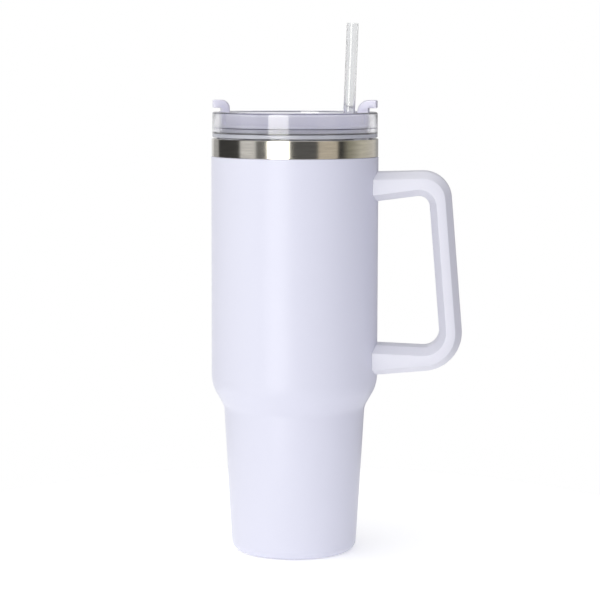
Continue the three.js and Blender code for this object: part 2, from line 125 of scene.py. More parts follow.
# Cover. A hook is half its angle, its inner radius and its curl's radius, and SEAT two radii and a
# depth
COVER_OUT = 43.9
COVER_UNDER = 253.4
COVER_FLOOR = 256
FLANGE_EDGE = 255.2
RIM_FOOT = 253
RIM_SLOPE = (40, 41.5)
FLANGE_TOP = 256.8
HUB_BORE = 4.4
HUB_OUT = 6.2
SEAT = (11.7, 37.3, 0.8)
SEAL = (12, 37)
RING_OUT = 41.7
RING_BORE = 39.5
COVER_LIP = 263
HOOK_FACE = 44.5
HOOK_UNDER = 267.4
HOOK_REACH = 49.3
HOOK_FILLET = 3.3
STRAW_HOOK = (14, 38.5, 7)
FAR_HOOK = (12, 40, 5)
SIP_AZIMUTH = math.degrees(straw_azimuth) - 75
SIP_HALF_ANGLE = 15
SIP_HALF_WIDTH = 4
SLOT_ENDS = (math.degrees(straw_azimuth) - 10, math.degrees(straw_azimuth) + 85)

# Straw, in its own upright frame
STRAW_HOLE = (32.3, 264)
STRAW_OUT = 3.5
STRAW_BORE = 2.85
STRAW_FOOT = 10.5
STRAW_TOP = 317.6
BOSS = (5.7, 261.7)
GROMMET = (5, 262, 263.6)
HOLE_FOOT = 245

# Handle: side outline as lines through two points, and its section
ROOF = ((50, 229.5), (78, 230.3))
BACK = ((94.5, 208.7), (100.8, 134.4))
SOLE = ((76, 110.5), (50.8, 108.2))
FINGER_FLOOR = ((51, 126.1), (76, 125.1))
FINGER_GRIP = ((86.8, 139.5), (81.1, 207))
FINGER_ROOF = ((74.5, 215.7), (51, 212.5))
OUTER_ROUNDS = (17.25, 23.5)
FINGER_ROUNDS = (9.5, 6.5)
CHAMFER_IN = 4.15
CHAMFER_WIDE = 8.3
CHAMFER_ROUND = 4
SIDE_ROUND = 1.4
SIDE_DEPTH = CHAMFER_IN + 0.6
SEAM_LAP = 0.05
HANDLE_HALF_WIDTH = grip.high.y
HANDLE_WALL = 1.6
ROOT_GAP = 0.2
BODY_GAP = 0.12
ARC_POINTS = 18
STRAIGHT_POINTS = 14

# Camera, from the cup's axis
CAMERA_AZIMUTH = 4
CAMERA_DISTANCE = 1250
CAMERA_HEIGHT = 288.8
CAMERA_PITCH = -6.25
CAMERA_YAW = -0.15
CAMERA_ROLL = 0.15
CAMERA_LENS = 125.1
FLOOR_RADIUS = 260


# ---- Node trees --------------------------------------------------------------------------------


class Wire:
    """A socket of a node tree. Arithmetic adds Math nodes, and node() adds any other node."""

    def __init__(self, tree, socket=None):
        self.tree = tree
        self.socket = socket

    def node(self, kind, settings=None, inputs=None):
        made = self.tree.nodes.new(kind)
        for name, value in (settings or {}).items():
            if name == "stops":
                set_stops(made.color_ramp, value)
            else:
                setattr(made, name, value)
        for name, value in (inputs or {}).items():
            if isinstance(value, Wire):
                self.tree.links.new(value.socket, made.inputs[name])
            else:
                made.inputs[name].default_value = value
        return Wire(self.tree, made.outputs[0] if made.outputs else None)

    def of(self, name):
        """Another output of the same node, by name or number."""
        return Wire(self.tree, self.socket.node.outputs[name])

    def maths(self, operation, *values):
        return self.node("ShaderNodeMath", {"operation": operation}, dict(enumerate(values)))

    def __add__(self, other):
        return self.maths("ADD", self, other)

    def __radd__(self, other):
        return self.maths("ADD", other, self)

    def __sub__(self, other):
        return self.maths("SUBTRACT", self, other)

    def __rsub__(self, other):
        return self.maths("SUBTRACT", other, self)

    def __mul__(self, other):
        return self.maths("MULTIPLY", self, other)

    def __truediv__(self, other):
        return self.maths("DIVIDE", self, other)

    def eased(self, low, high):
        """A smooth step from 0 at low to 1 at high."""
        return self.node(
            "ShaderNodeMapRange", {"interpolation_type": "SMOOTHSTEP"},
            {"Value": self, "From Min": low, "From Max": high},
        )

    def blend(self, low, high):
        """The colour between two colours, with this wire as the share of the second."""
        mixed = self.node(
            "ShaderNodeMix", {"data_type": "RGBA"},
            {"Factor": self, 6: low, 7: high},
        )
        return mixed.of(2)


def set_stops(ramp, stops):
    """Colour ramp stops as (position, colour)."""
    while len(ramp.elements) > 1:
        ramp.elements.remove(ramp.elements[-1])
    for i, (position, colour) in enumerate(stops):
        stop = ramp.elements[0] if i == 0 else ramp.elements.new(position)
        stop.position = position
        stop.color = colour


def grey(level):
    return level, level, level, 1


# ---- Outlines ----------------------------------------------------------------------------------


def rounded(corners, step=6):
    """The outline through the corners, (x, y) or (x, y, radius), each arc in steps of step degrees."""
    outline = []
    for i, corner in enumerate(corners):
        point = Vector(corner[:2])
        radius = corner[2] if len(corner) > 2 else 0
        if radius == 0:
            outline.append(tuple(point))
            continue
        back = (Vector(corners[i - 1][:2]) - point).normalized()
        ahead = (Vector(corners[(i + 1) % len(corners)][:2]) - point).normalized()
        half = back.angle(ahead) / 2
        centre = point + (back + ahead).normalized() * radius / math.sin(half)
        spoke = point + back * radius / math.tan(half) - centre
        sweep = math.copysign(math.pi - 2 * half, back.x * spoke.y - back.y * spoke.x)
        steps = max(1, math.ceil(math.degrees(abs(sweep)) / step))
        for k in range(steps + 1):
            turned = Matrix.Rotation(sweep * k / steps, 2) @ spoke
            outline.append(tuple(centre + turned))
    return outline


def curved_slot(radius, half_width, start, end):
    """Outline of a slot with round ends along a circle about the axis, from start to end in degrees."""
    start, end = math.radians(start), math.radians(end)

    def arc(centre, size, from_angle, to_angle, steps):
        angles = np.linspace(from_angle, to_angle, steps)
        return [(centre[0] + size * math.cos(a), centre[1] + size * math.sin(a)) for a in angles]

    first = (radius * math.cos(start), radius * math.sin(start))
    last = (radius * math.cos(end), radius * math.sin(end))
    return [
        *arc((0, 0), radius + half_width, start, end, 24),
        *arc(last, half_width, end, end + math.pi, 16)[1:],
        *arc((0, 0), radius - half_width, end, start, 24)[1:],
        *arc(first, half_width, start + math.pi, start + TURN, 16)[1:-1],
    ]


def sip_outline():
    return curved_slot(
        STRAW_HOLE[0], SIP_HALF_WIDTH, SIP_AZIMUTH - SIP_HALF_ANGLE, SIP_AZIMUTH + SIP_HALF_ANGLE
    )


def wall_curve(inset, foot_height, foot_round, top):
    """The double wall's shared curve from the foot up to top, moved in by inset."""
    lean = (WAIST[0] - FOOT[0]) / WAIST[1]
    return [
        (FOOT[0] + lean * foot_height - inset, foot_height, foot_round),
        (WAIST[0] - inset, WAIST[1], WAIST[2]),
        (SHOULDER[0] - inset, SHOULDER[1], SHOULDER[2]),
        (shell.radius - inset, top),
    ]


# ---- Making meshes -----------------------------------------------------------------------------


def plain_object(name, points, faces=()):
    """A mesh object from points in millimetres."""
    mesh = bpy.data.meshes.new(name)
    mesh.from_pydata([Vector(p) * MM for p in points], [], faces)
    made = bpy.data.objects.new(name, mesh)
    bpy.context.scene.collection.objects.link(made)
    return made


def settle(piece, sharp=35):
    """The object with its modifiers applied, smooth apart from edges of more than sharp degrees."""
    depsgraph = bpy.context.evaluated_depsgraph_get()
    mesh = bpy.data.meshes.new_from_object(piece.evaluated_get(depsgraph))
    piece.modifiers.clear()
    piece.data = mesh
    mesh.shade_smooth()
    mesh.set_sharp_from_angle(angle=math.radians(sharp))
    return piece


def turning_tree():
    """Geometry Nodes that turn a profile of points about Z."""
    tree = bpy.data.node_groups.new("profile turned about the axis", "GeometryNodeTree")
    sockets = {}
    for label, kind in (
        ("Profile", "NodeSocketGeometry"),
        ("Sides", "NodeSocketInt"),
        ("Material", "NodeSocketMaterial"),
    ):
        made = tree.interface.new_socket(label, in_out="INPUT", socket_type=kind)
        sockets[label] = made.identifier
    tree.interface.new_socket("Turned", in_out="OUTPUT", socket_type="NodeSocketGeometry")
    given = Wire(tree).node("NodeGroupInput")
    profile = given.of("Profile")
    sides = given.of("Sides")
    counted = given.node("GeometryNodeAttributeDomainSize", {}, {"Geometry": profile})
    rows = counted.of("Point Count")
    grid = given.node("GeometryNodeMeshGrid", {}, {"Vertices X": sides + 1, "Vertices Y": rows})
    index = given.node("GeometryNodeInputIndex")
    column = given.maths("FLOOR", (index + 0.5) / rows)
    row = index - column * rows
    angle = column / sides * TURN
    point = given.node(
        "GeometryNodeSampleIndex", {"data_type": "FLOAT_VECTOR"},
        {"Geometry": profile, "Value": given.node("GeometryNodeInputPosition"), "Index": row},
    )
    placed = given.node(
        "ShaderNodeVectorRotate", {"rotation_type": "Z_AXIS"}, {"Vector": point, "Angle": angle}
    )
    formed = given.node("GeometryNodeSetPosition", {}, {"Geometry": grid, "Position": placed})
    closed = given.node("GeometryNodeMergeByDistance", {}, {"Geometry": formed, "Distance": 1e-6})
    real = given.node("GeometryNodeRealizeInstances", {}, {"Geometry": closed})
    finished = given.node(
        "GeometryNodeSetMaterial", {}, {"Geometry": real, "Material": given.of("Material")}
    )
    given.node("NodeGroupOutput", {}, {"Turned": finished})
    return tree, sockets


TURNING, TURNING_SOCKETS = turning_tree()


def turned(name, profile, finish, sides=192, placed=None):
    """A round piece: a closed profile of (radius, height) turned about the axis.

    The profile runs out along the bottom, up the outside and back in over the top.
    """
    closing = [] if profile[0][0] == 0 and profile[-1][0] == 0 else [profile[0]]
    piece = plain_object(name, [(radius, 0, height) for radius, height in [*profile, *closing]])
    modifier = piece.modifiers.new("turn", "NODES")
    modifier.node_group = TURNING
    for label, value in (("Sides", sides), ("Material", finish)):
        modifier[TURNING_SOCKETS[label]] = value
    settle(piece)
    if placed:
        piece.data.transform(placed)
    return piece


def prism(outline, bottom, top):
    """A closed upright prism, used as a cutter."""
    count = len(outline)
    points = [(x, y, z) for z in (bottom, top) for x, y in outline]
    sides = [(i, (i + 1) % count, count + (i + 1) % count, count + i) for i in range(count)]
    ends = [tuple(reversed(range(count))), tuple(range(count, 2 * count))]
    return plain_object("cutter", points, [*sides, *ends])


def combined(piece, others, operation):
    """The piece after each of the others is taken out of it or joined to it."""
    for other in others:
        modifier = piece.modifiers.new("combine", "BOOLEAN")
        modifier.operation = operation
        modifier.solver = "EXACT"
        modifier.object = other
    settle(piece)
    for other in others:
        bpy.data.objects.remove(other)
    return piece


def straw_place():
    """The matrix that leans work done about the axis out to the straw's place."""
    tilt = math.acos(straw_axis.z)
    return (
        Matrix.Rotation(straw_azimuth, 4, "Z")
        @ Matrix.Translation((STRAW_HOLE[0] * MM, 0, STRAW_HOLE[1] * MM))
        @ Matrix.Rotation(tilt, 4, "Y")
        @ Matrix.Translation((0, 0, -STRAW_HOLE[1] * MM))
    )


# ---- Finishes ----------------------------------------------------------------------------------


def finish(name, varying, **constants):
    """A Principled material. varying(start) gives the wires that change over the surface."""
    material = bpy.data.materials.new(name)
    material.use_nodes = True
    shader = material.node_tree.nodes["Principled BSDF"]
    for label, value in constants.items():
        shader.inputs[label.replace("_", " ")].default_value = value
    for label, wire in varying(Wire(material.node_tree)).items():
        material.node_tree.links.new(wire.socket, shader.inputs[label])
    return material


def noise(start, vector, scale, detail=2.0, rough=0.5):
    return start.node(
        "ShaderNodeTexNoise", {},
        {"Vector": vector, "Scale": scale, "Detail": detail, "Roughness": rough},
    )


def bumped(start, height, depth, strength):
    return start.node(
        "ShaderNodeBump", {}, {"Height": height, "Distance": depth, "Strength": strength}
    )


def object_place(start):
    return start.node("ShaderNodeTexCoord").of("Object")


def powder_coat(name, light, dark, roughness):
    """Satin powder coat: fine grain over a faint orange peel."""

    def varying(start):
        place = object_place(start)
        grain = noise(start, place, 2300, 3, 0.6)
        peel = noise(start, place, 520, 2)
        drift = noise(start, place, 38, 2)
        shade = grain * 0.45 + peel * 0.25 + drift * 0.3
        return {
            "Base Color": shade.blend(dark, light),
            "Roughness": roughness - 0.06 + grain * 0.08 + drift * 0.04,
            "Normal": bumped(start, grain * 0.65 + peel * 0.35, 0.00004, 0.55),
        }

    return finish(name, varying, Specular_IOR_Level=0.16)


def brushed_steel(name, light, dark, roughness, satin_bore=0.0):
    """Steel brushed round the axis: long streaks along the circle, fine across it.

    Nearer the axis than satin_bore the steel is a blasted, paler satin.
    """

    def varying(start):
        place = object_place(start)
        parts = start.node("ShaderNodeSeparateXYZ", {}, {"Vector": place})
        x, y, z = parts, parts.of("Y"), parts.of("Z")
        around = start.maths("ARCTAN2", y, x)
        away = start.maths("SQRT", x * x + y * y)
        streaked = start.node(
            "ShaderNodeCombineXYZ", {}, {"X": around * 9, "Y": away * 4200, "Z": z * 4200}
        )
        broad = start.node(
            "ShaderNodeCombineXYZ", {}, {"X": around * 3, "Y": away * 700, "Z": z * 700}
        )
        fine = noise(start, streaked, 1, 4, 0.65)
        wide = noise(start, broad, 1, 3, 0.55)
        shade = fine * 0.3 + wide * 0.7
        satin = start.maths("LESS_THAN", away, satin_bore * MM)
        return {
            "Base Color": satin.blend(shade.blend(dark, light), SATIN_STEEL),
            "Roughness": roughness - 0.05 + fine * 0.07 + wide * 0.03 + satin * 0.4,
            "Normal": bumped(start, fine * 0.7 + wide * 0.3, 0.000006, 0.4),
        }

    return finish(name, varying, Metallic=1.0)


def moulded(name, light, dark, roughness, grain_depth=0.00002, **constants):
    """Moulded plastic or silicone: a fine etched texture with slow drifts of colour."""

    def varying(start):
        place = object_place(start)
        etched = noise(start, place, 3200, 2, 0.5)
        drift = noise(start, place, 60, 3)
        return {
            "Base Color": (etched * 0.3 + drift * 0.7).blend(dark, light),
            "Roughness": roughness - 0.04 + etched * 0.05 + drift * 0.03,
            "Normal": bumped(start, etched, grain_depth, 0.5),
        }

    return finish(name, varying, **constants)


def clear_plastic(name, light, dark, roughness, ripple, edges=(), **constants):
    """Clear copolyester with the faint ripple of a moulded wall.

    Each edge, a height and half a width, is a painted shade line: a fine dark line painted round the
    wall's colour, standing in for the shade that refraction gives at that height.
    """

    def varying(start):
        place = object_place(start)
        flow = noise(start, place, 90, 2)
        haze = noise(start, place, 420, 2)
        height = start.node("ShaderNodeSeparateXYZ", {}, {"Vector": place}).of("Z")
        shade = flow.blend(dark, light)
        # Painted shade: the colour turns dark in a thin band at each of these heights, in place of the
        # shade that refraction gives there
        for edge, half in edges:
            shade = start.maths("COMPARE", height, edge * MM, half * MM).blend(shade, PAINTED_SHADE_LINE_TINT)
        return {
            "Base Color": shade,
            "Roughness": roughness + haze * 0.03,
            "Normal": bumped(start, flow, ripple, 0.4),
        }

    return finish(name, varying, IOR=1.5, **constants)


LAVENDER = (0.710, 0.715, 0.810, 1)
LAVENDER_DEEP = (0.675, 0.680, 0.780, 1)
HANDLE_LIGHT = (0.765, 0.765, 0.825, 1)
HANDLE_DEEP = (0.730, 0.730, 0.795, 1)
# Colour of the painted shade lines in the clear lid's wall
PAINTED_SHADE_LINE_TINT = (0.10, 0.10, 0.16, 1)
STEEL_LIGHT = (0.76, 0.73, 0.67, 1)
STEEL_DARK = (0.46, 0.44, 0.41, 1)
SATIN_STEEL = (0.80, 0.79, 0.77, 1)

FINISHES = {
    "coat": powder_coat("lavender powder coat", LAVENDER, LAVENDER_DEEP, 0.30),
    "handle coat": powder_coat("lavender handle coat", HANDLE_LIGHT, HANDLE_DEEP, 0.38),
    "steel": brushed_steel("brushed steel", STEEL_LIGHT, STEEL_DARK, 0.13),
    "liner steel": brushed_steel(
        "brushed liner steel", STEEL_LIGHT, STEEL_DARK, 0.13, LINER_BORE + 0.3,
    ),
    "dull steel": brushed_steel("drawn steel", (0.55, 0.54, 0.52, 1), (0.40, 0.39, 0.37, 1), 0.40),
    "cover": moulded(
        "lavender moulding", (0.745, 0.735, 0.84, 1), (0.70, 0.69, 0.80, 1), 0.34,
        Subsurface_Weight=0.35, Subsurface_Scale=0.004, Subsurface_Radius=(1.0, 1.0, 1.1),
    ),
    "silicone": moulded("silicone", (0.66, 0.66, 0.74, 1), (0.60, 0.60, 0.69, 1), 0.55, 0.00004),
    # The clear lid's colour carries painted shade lines at the rim and at the cover's flange edge
    "clear": clear_plastic(
        "clear lid plastic", (0.93, 0.93, 0.96, 1), (0.89, 0.89, 0.93, 1), 0.02, 0.00001,
        edges=(RIM_SHADE_LINE, FLANGE_SHADE_LINE), Transmission_Weight=0.91,
    ),
    "frosted": clear_plastic(
        "frosted lid plastic", (0.93, 0.935, 0.98, 1), (0.62, 0.63, 0.72, 1), 0.22, 0.00002,
        Transmission_Weight=0.5,
    ),
    "straw": clear_plastic(
        "clear straw plastic", (0.93, 0.935, 0.94, 1), (0.90, 0.905, 0.91, 1), 0.05, 0.0000002,
        Transmission_Weight=0.94,
    ),
}


# ---- Cup ---------------------------------------------------------------------------------------


def cup_shell():
    """Coated outer wall, turned in at the foot to a ring."""
    profile = [
        (FOOT_RING, 0.3), (FOOT_RING + 0.3, 0),
        *wall_curve(0, 0, FOOT[2], shell.top - SHEET / 2),
        (shell.radius - SHEET / 2, shell.top, 0.2), (shell.radius - SHEET, shell.top),
        *reversed(wall_curve(SHEET, SHEET, FOOT[2] - SHEET, shell.top - 1)),
        (FOOT_RING, SHEET),
    ]
    return turned("cup_shell", rounded(profile), FINISHES["coat"], 256)


def steel_liner():
    """Inner cup, whose mouth rolls outward and down into the bare collar."""
    collar = liner.radius
    mouth = liner.top
    rolled = mouth - MOUTH_ROLL
    inset = shell.radius - LINER_BORE
    inside = wall_curve(inset, LINER_FLOOR, LINER_ROUND, mouth)
    inside[-1] = (*inside[-1], 1.1)
    profile = [
        (0, LINER_FLOOR - SHEET),
        *wall_curve(inset - SHEET, LINER_FLOOR - SHEET, LINER_ROUND, rolled),
        (collar - COLLAR_WALL, rolled), (collar - COLLAR_WALL, COLLAR_FOOT),
        (collar, COLLAR_FOOT, 0.25), (collar, mouth, 0.5),
        *reversed(inside),
        (0, LINER_FLOOR),
    ]
    return turned("steel_liner", rounded(profile), FINISHES["liner steel"], 256)


def base_disc():
    """Flat steel cap in the foot ring, with a rolled edge."""
    radius = cap.radius
    profile = [(0, 0), (radius, 0, 0.5), (radius, CAP_THICK), (0, CAP_THICK)]
    return turned("base_disc", rounded(profile), FINISHES["steel"], 192)


# ---- Handle ------------------------------------------------------------------------------------


def moved(line, shift):
    """A line through two points, moved by shift toward its left."""
    start, end = Vector(line[0]), Vector(line[1])
    ahead = (end - start).normalized()
    left = Vector((-ahead.y, ahead.x)) * shift
    return start + left, end + left


def crossing(first, second):
    """The point where two lines, each through two points, meet."""
    (a, b), (c, d) = first, second
    u, v = b - a, d - c
    along = ((c.x - a.x) * v.y - (c.y - a.y) * v.x) / (u.x * v.y - u.y * v.x)
    return a + u * along


def stretch(start, end):
    """Points after start and as far as end."""
    return [start.lerp(end, k / STRAIGHT_POINTS) for k in range(1, STRAIGHT_POINTS + 1)]


def handle_side(lines, rounds, inset):
    """Points along one side of the handle, from the upper root to the lower one."""
    wall = shell.radius + ROOT_GAP
    root = (Vector((wall, 0)), Vector((wall, 1)))
    upper, middle, lower = (moved(line, inset) for line in lines)
    pairs = ((root, upper), (upper, middle), (middle, lower), (lower, root))
    ends = [crossing(first, second) for first, second in pairs]
    points = [ends[0]]
    for corner, after, radius in ((ends[1], ends[2], rounds[0]), (ends[2], ends[3], rounds[1])):
        arc = rounded([tuple(points[-1]), (*corner, radius), tuple(after)], 90)[1:-1]
        start, end = Vector(arc[0]), Vector(arc[-1])
        points += stretch(points[-1], start)
        points += arc_between(start, end, corner, radius)[1:]
    return points + stretch(points[-1], ends[3])


def arc_between(start, end, corner, radius):
    """Points on the arc that rounds the corner, from start to end."""
    middle = (start + end) / 2
    half = (start - corner).angle(end - corner) / 2
    centre = corner + (middle - corner).normalized() * radius / math.sin(half)
    spoke, last = start - centre, end - centre
    sweep = math.copysign(math.pi - 2 * half, spoke.x * last.y - spoke.y * last.x)
    turns = [sweep * k / ARC_POINTS for k in range(ARC_POINTS + 1)]
    return [centre + Matrix.Rotation(turn, 2) @ spoke for turn in turns]


def outer_side(inset):
    """The back of the handle, from its upper root to its lower one."""
    rounds = [radius - inset for radius in OUTER_ROUNDS]
    return handle_side((ROOF, BACK, SOLE), rounds, -inset)


def finger_side(inset):
    """The finger gap's side, from its upper root to its lower one."""
    lines = [tuple(reversed(line)) for line in (FINGER_ROOF, FINGER_GRIP, FINGER_FLOOR)]
    rounds = [FINGER_ROUNDS[1] + inset, FINGER_ROUNDS[0] + inset]
    return handle_side(lines, rounds, inset)


def fitted_to_body(points, y):
    """The points at this y, with each end brought to the round body."""
    touch = math.sqrt((shell.radius + BODY_GAP) ** 2 - y * y)
    row = [(point.x, y, point.y) for point in points]
    for end, inward in ((0, 1), (-1, -2)):
        slope = (row[inward][2] - row[end][2]) / (row[inward][0] - row[end][0])
        row[end] = (touch, y, row[end][2] + slope * (touch - row[end][0]))
    return row


def across_handle(side):
    """One half's section as (y, inset from its own skin), given the corners of its +Y side."""
    flat = HANDLE_HALF_WIDTH - CHAMFER_WIDE
    half = [*side, (flat, 0, CHAMFER_ROUND)]
    return rounded([*half, *((-y, *rest) for y, *rest in reversed(half))], 5)


def swept_half(name, rows, outward):
    """A skin over the rows, thickened inward to a closed shell."""
    columns = len(rows[0])
    points = [point for row in rows for point in row]
    faces = [
        (r * columns + c, r * columns + c + 1, (r + 1) * columns + c + 1, (r + 1) * columns + c)
        for r in range(len(rows) - 1)
        for c in range(columns - 1)
    ]
    if outward < 0:
        faces = [tuple(reversed(face)) for face in faces]
    piece = plain_object(name, points, faces)
    piece.data.materials.append(FINISHES["handle coat"])
    wall = piece.modifiers.new("wall", "SOLIDIFY")
    wall.thickness = HANDLE_WALL * MM
    wall.offset = -1
    return settle(piece, 40)


def handle_back():
    """Outer half of the handle: back, outer chamfers and sides, down to the seam."""
    wide = HANDLE_HALF_WIDTH
    section = across_handle([(wide, SIDE_DEPTH), (wide, CHAMFER_IN, SIDE_ROUND)])
    rows = [
        fitted_to_body(outer_side(inset), y) for y, inset in section if inset <= CHAMFER_IN + 0.001
    ]
    seams = [fitted_to_body(finger_side(CHAMFER_IN + SEAM_LAP), y) for y in (wide, -wide)]
    return swept_half("handle_back", [seams[0], *rows, seams[1]], -1)


def handle_grip():
    """Finger-side half of the handle, from the seam over the inner chamfers."""
    section = across_handle([(HANDLE_HALF_WIDTH, CHAMFER_IN - 0.01)])
    rows = [fitted_to_body(finger_side(inset), y) for y, inset in section]
    return swept_half("handle_grip", rows, 1)


def screw_plug(name, node):
    """Push-in plug over a handle screw."""
    place = Extent(node)
    centre = (place.low + place.high) / 2
    radius = (place.high.x - place.low.x) / 2
    profile = [
        (0, place.bottom), (radius, place.bottom, 0.3), (radius, place.top, 0.3), (0, place.top),
    ]
    spot = Matrix.Translation((centre.x * MM, centre.y * MM, 0))
    return turned(name, rounded(profile, 15), FINISHES["handle coat"], 48, placed=spot)


# ---- Lid ---------------------------------------------------------------------------------------


def clear_lid():
    """Clear lid: plug, floor with its drinking slot, well and rim."""
    top = lid.top
    groove, low, high = GROOVE
    profile = [
        (0, LID_UNDER), (PLUG_BORE, LID_UNDER, 0.8), (PLUG_BORE, PLUG_FOOT, 0.5),
        (PLUG, PLUG_FOOT, 0.5), (PLUG, low), (groove, low), (groove, high), (PLUG, high),
        (PLUG, SKIRT_TOP), (LID_OUT, SKIRT_TOP, 0.2), (LID_OUT, top, 1.2), (LID_BORE, top, 0.6),
        (LID_BORE, LID_FLOOR, 1), (POST, LID_FLOOR, 0.5), (POST, COVER_FLOOR),
        (POST_BORE, COVER_FLOOR), (POST_BORE, LID_FLOOR - 1), (0, LID_FLOOR - 1),
    ]
    body = turned("clear_lid", rounded(profile, 10), FINISHES["clear"], 192)
    slot = curved_slot(SLOT_PATH, SLOT_HALF_WIDTH, *SLOT_ENDS)
    return combined(body, [prism(slot, LID_UNDER - 3, LID_FLOOR + 1)], "DIFFERENCE")


def lid_skirt():
    """Frosted welded ring round the lid's foot, which stands just above the steel mouth."""
    inner = PLUG + 0.05
    top = SKIRT_TOP - 0.05
    profile = [(inner, LID_FOOT), (LID_OUT, LID_FOOT, 0.4), (LID_OUT, top, 0.2), (inner, top)]
    return turned("lid_skirt", rounded(profile, 10), FINISHES["frosted"], 192)


def mouth_gasket():
    """Two-lipped silicone ring in the plug's groove."""
    groove, low, high = GROOVE
    low, high = low + 0.3, high - 0.3
    inner = groove + 0.25
    profile = [
        (inner, low), (PLUG, low, 0.2), (GASKET_LIP, low + 0.9, 0.25), (PLUG, low + 1.8, 0.3),
        (PLUG, high - 1.8, 0.3), (GASKET_LIP, high - 0.9, 0.25), (PLUG, high, 0.2), (inner, high),
    ]
    return turned("mouth_gasket", rounded(profile, 15), FINISHES["silicone"], 160)


def pivot_button():
    """Button on the post that the cover turns round."""
    under = COVER_FLOOR + 0.3
    edge, middle, depth = DIMPLE
    profile = [
        (0, LID_FLOOR), (STEM, LID_FLOOR), (STEM, under), (knob.radius, under, 0.2),
        (knob.radius, knob.top, 0.9), (edge, knob.top, 0.5), (middle, knob.top - depth, 0.6),
        (0, knob.top - depth),
    ]
    return turned("pivot_button", rounded(profile, 15), FINISHES["cover"], 96)


def post_ring():
    """O-ring round the cover's post."""
    inner, outer, height = POST_RING
    low = LID_FLOOR + 0.3
    high = low + height
    profile = [(inner, low, 0.6), (outer, low, 0.6), (outer, high, 0.6), (inner, high, 0.6)]
    return turned("post_ring", rounded(profile, 20), FINISHES["silicone"], 64)


# ---- Cover -------------------------------------------------------------------------------------


def cover_dish():
    """Dish with a sloping underside, a flange and a ring wall."""
    under = COVER_UNDER
    seat_in, seat_out, seat_deep = SEAT
    slope_in, slope_out = RIM_SLOPE
    notch_low, notch_high = FLANGE_EDGE - 0.2, FLANGE_EDGE + 0.4
    profile = [
        (HUB_BORE, under + 1), (HUB_OUT, under + 1), (HUB_OUT, under), (seat_in, under),
        (seat_in, under + seat_deep), (seat_out, under + seat_deep), (seat_out, under, 0.3),
        (slope_in, under, 0.4), (slope_out, RIM_FOOT, 0.3), (COVER_OUT - 0.5, RIM_FOOT, 0.3),
        (COVER_OUT - 0.4, notch_low), (COVER_OUT - 2, notch_low),
        (COVER_OUT - 2, notch_high), (COVER_OUT, notch_high), (COVER_OUT, FLANGE_TOP, 0.4),
        (RING_OUT, FLANGE_TOP, 1), (RING_OUT, COVER_LIP, 0.8), (RING_BORE, COVER_LIP, 0.8),
        (RING_BORE, COVER_FLOOR, 2), (HUB_BORE, COVER_FLOOR, 0.4),
    ]
    return turned("hooked_cover", rounded(profile, 10), FINISHES["cover"], 240)


def shrunk(outline, amount):
    """A closed outline moved inward by amount."""
    points = np.array(outline)
    along = np.roll(points, -1, axis=0) - np.roll(points, 1, axis=0)
    along /= np.hypot(*along.T)[:, None]
    inward = np.column_stack([-along[:, 1], along[:, 0]])
    return points + inward * amount


def arched(name, columns):
    """A closed bar through sections, each an angle in degrees and an outline of (radius, height)."""
    count = len(columns[0][1])
    points = [
        (radius * math.cos(math.radians(angle)), radius * math.sin(math.radians(angle)), height)
        for angle, outline in columns
        for radius, height in outline
    ]
    last = (len(columns) - 1) * count
    faces = [
        (c + i, c + count + i, c + count + (i + 1) % count, c + (i + 1) % count)
        for c in range(0, last, count)
        for i in range(count)
    ]
    ends = [tuple(range(count)), tuple(last + i for i in reversed(range(count)))]
    bar = plain_object(name, points, [*faces, *ends])
    bar.data.materials.append(FINISHES["cover"])
    return bar


def hook(azimuth, half, inner, curl):
    """Hook that stands on the flange and curls out over the lid's rim, half degrees to each side."""
    root = RING_OUT - 1
    outline = rounded([
        (root, FLANGE_TOP - 1), (COVER_OUT, FLANGE_TOP - 1), (HOOK_FACE, COVER_LIP - 2, 1),
        (HOOK_FACE, HOOK_UNDER, 0.5),
        (HOOK_REACH, HOOK_UNDER, 0.6), (HOOK_REACH, cover.top, 0.8), (inner, cover.top, curl),
        (inner, COVER_LIP - 1), (root, COVER_LIP - 1),
    ], 10)
    rims = [(half, 0.35), (half - 0.12, 0.12), (half - 0.45, 0)]
    left = [(azimuth - angle, shrunk(outline, inset)) for angle, inset in rims]
    right = [(azimuth + angle, shrunk(outline, inset)) for angle, inset in reversed(rims)]
    middle = [(azimuth + angle, outline) for angle in range(1 - half, half)]
    return arched("hook", [*left, *middle, *right])


def foot_fillet(edge, side):
    """Concave fillet between a hook's end and the flange."""
    radius = HOOK_FILLET
    curve = [math.radians(a) for a in range(180, 271, 10)]
    arc = [(radius + radius * math.cos(a), radius + radius * math.sin(a)) for a in curve]
    columns = []
    for across, height in arc:
        top = FLANGE_TOP + max(height, 0.02)
        outline = [
            (RING_OUT - 0.5, FLANGE_TOP - 0.5), (COVER_OUT - 0.03, FLANGE_TOP - 0.5),
            (COVER_OUT - 0.03, top), (RING_OUT - 0.5, top),
        ]
        columns.append((edge + side * math.degrees(across / COVER_OUT), outline))
    columns.insert(0, (edge - side * 0.6, columns[0][1]))
    return arched("foot fillet", columns if side > 0 else columns[::-1])


def hooked_cover():
    """Dish that turns on the lid, with two hooks, a boss for the straw and a sip opening."""
    azimuth = math.degrees(straw_azimuth)
    added = []
    for centre, (half, inner, curl) in ((azimuth, STRAW_HOOK), (azimuth + 180, FAR_HOOK)):
        added.append(hook(centre, half, inner, curl))
        added += [foot_fillet(centre - half, -1), foot_fillet(centre + half, 1)]
    outward = Matrix.Translation((STRAW_HOLE[0] * MM, 0, 0))
    spot = Matrix.Rotation(straw_azimuth, 4, "Z") @ outward
    radius, top = BOSS
    profile = [(0, COVER_FLOOR - 1), (radius, COVER_FLOOR - 1), (radius, top, 0.4), (0, top)]
    added.append(turned("boss", rounded(profile, 15), FINISHES["cover"], 64, placed=spot))
    dish = combined(cover_dish(), added, "UNION")
    holes = [straw_hole_cutter(), prism(sip_outline(), COVER_UNDER - 3, COVER_FLOOR + 3)]
    return combined(dish, holes, "DIFFERENCE")


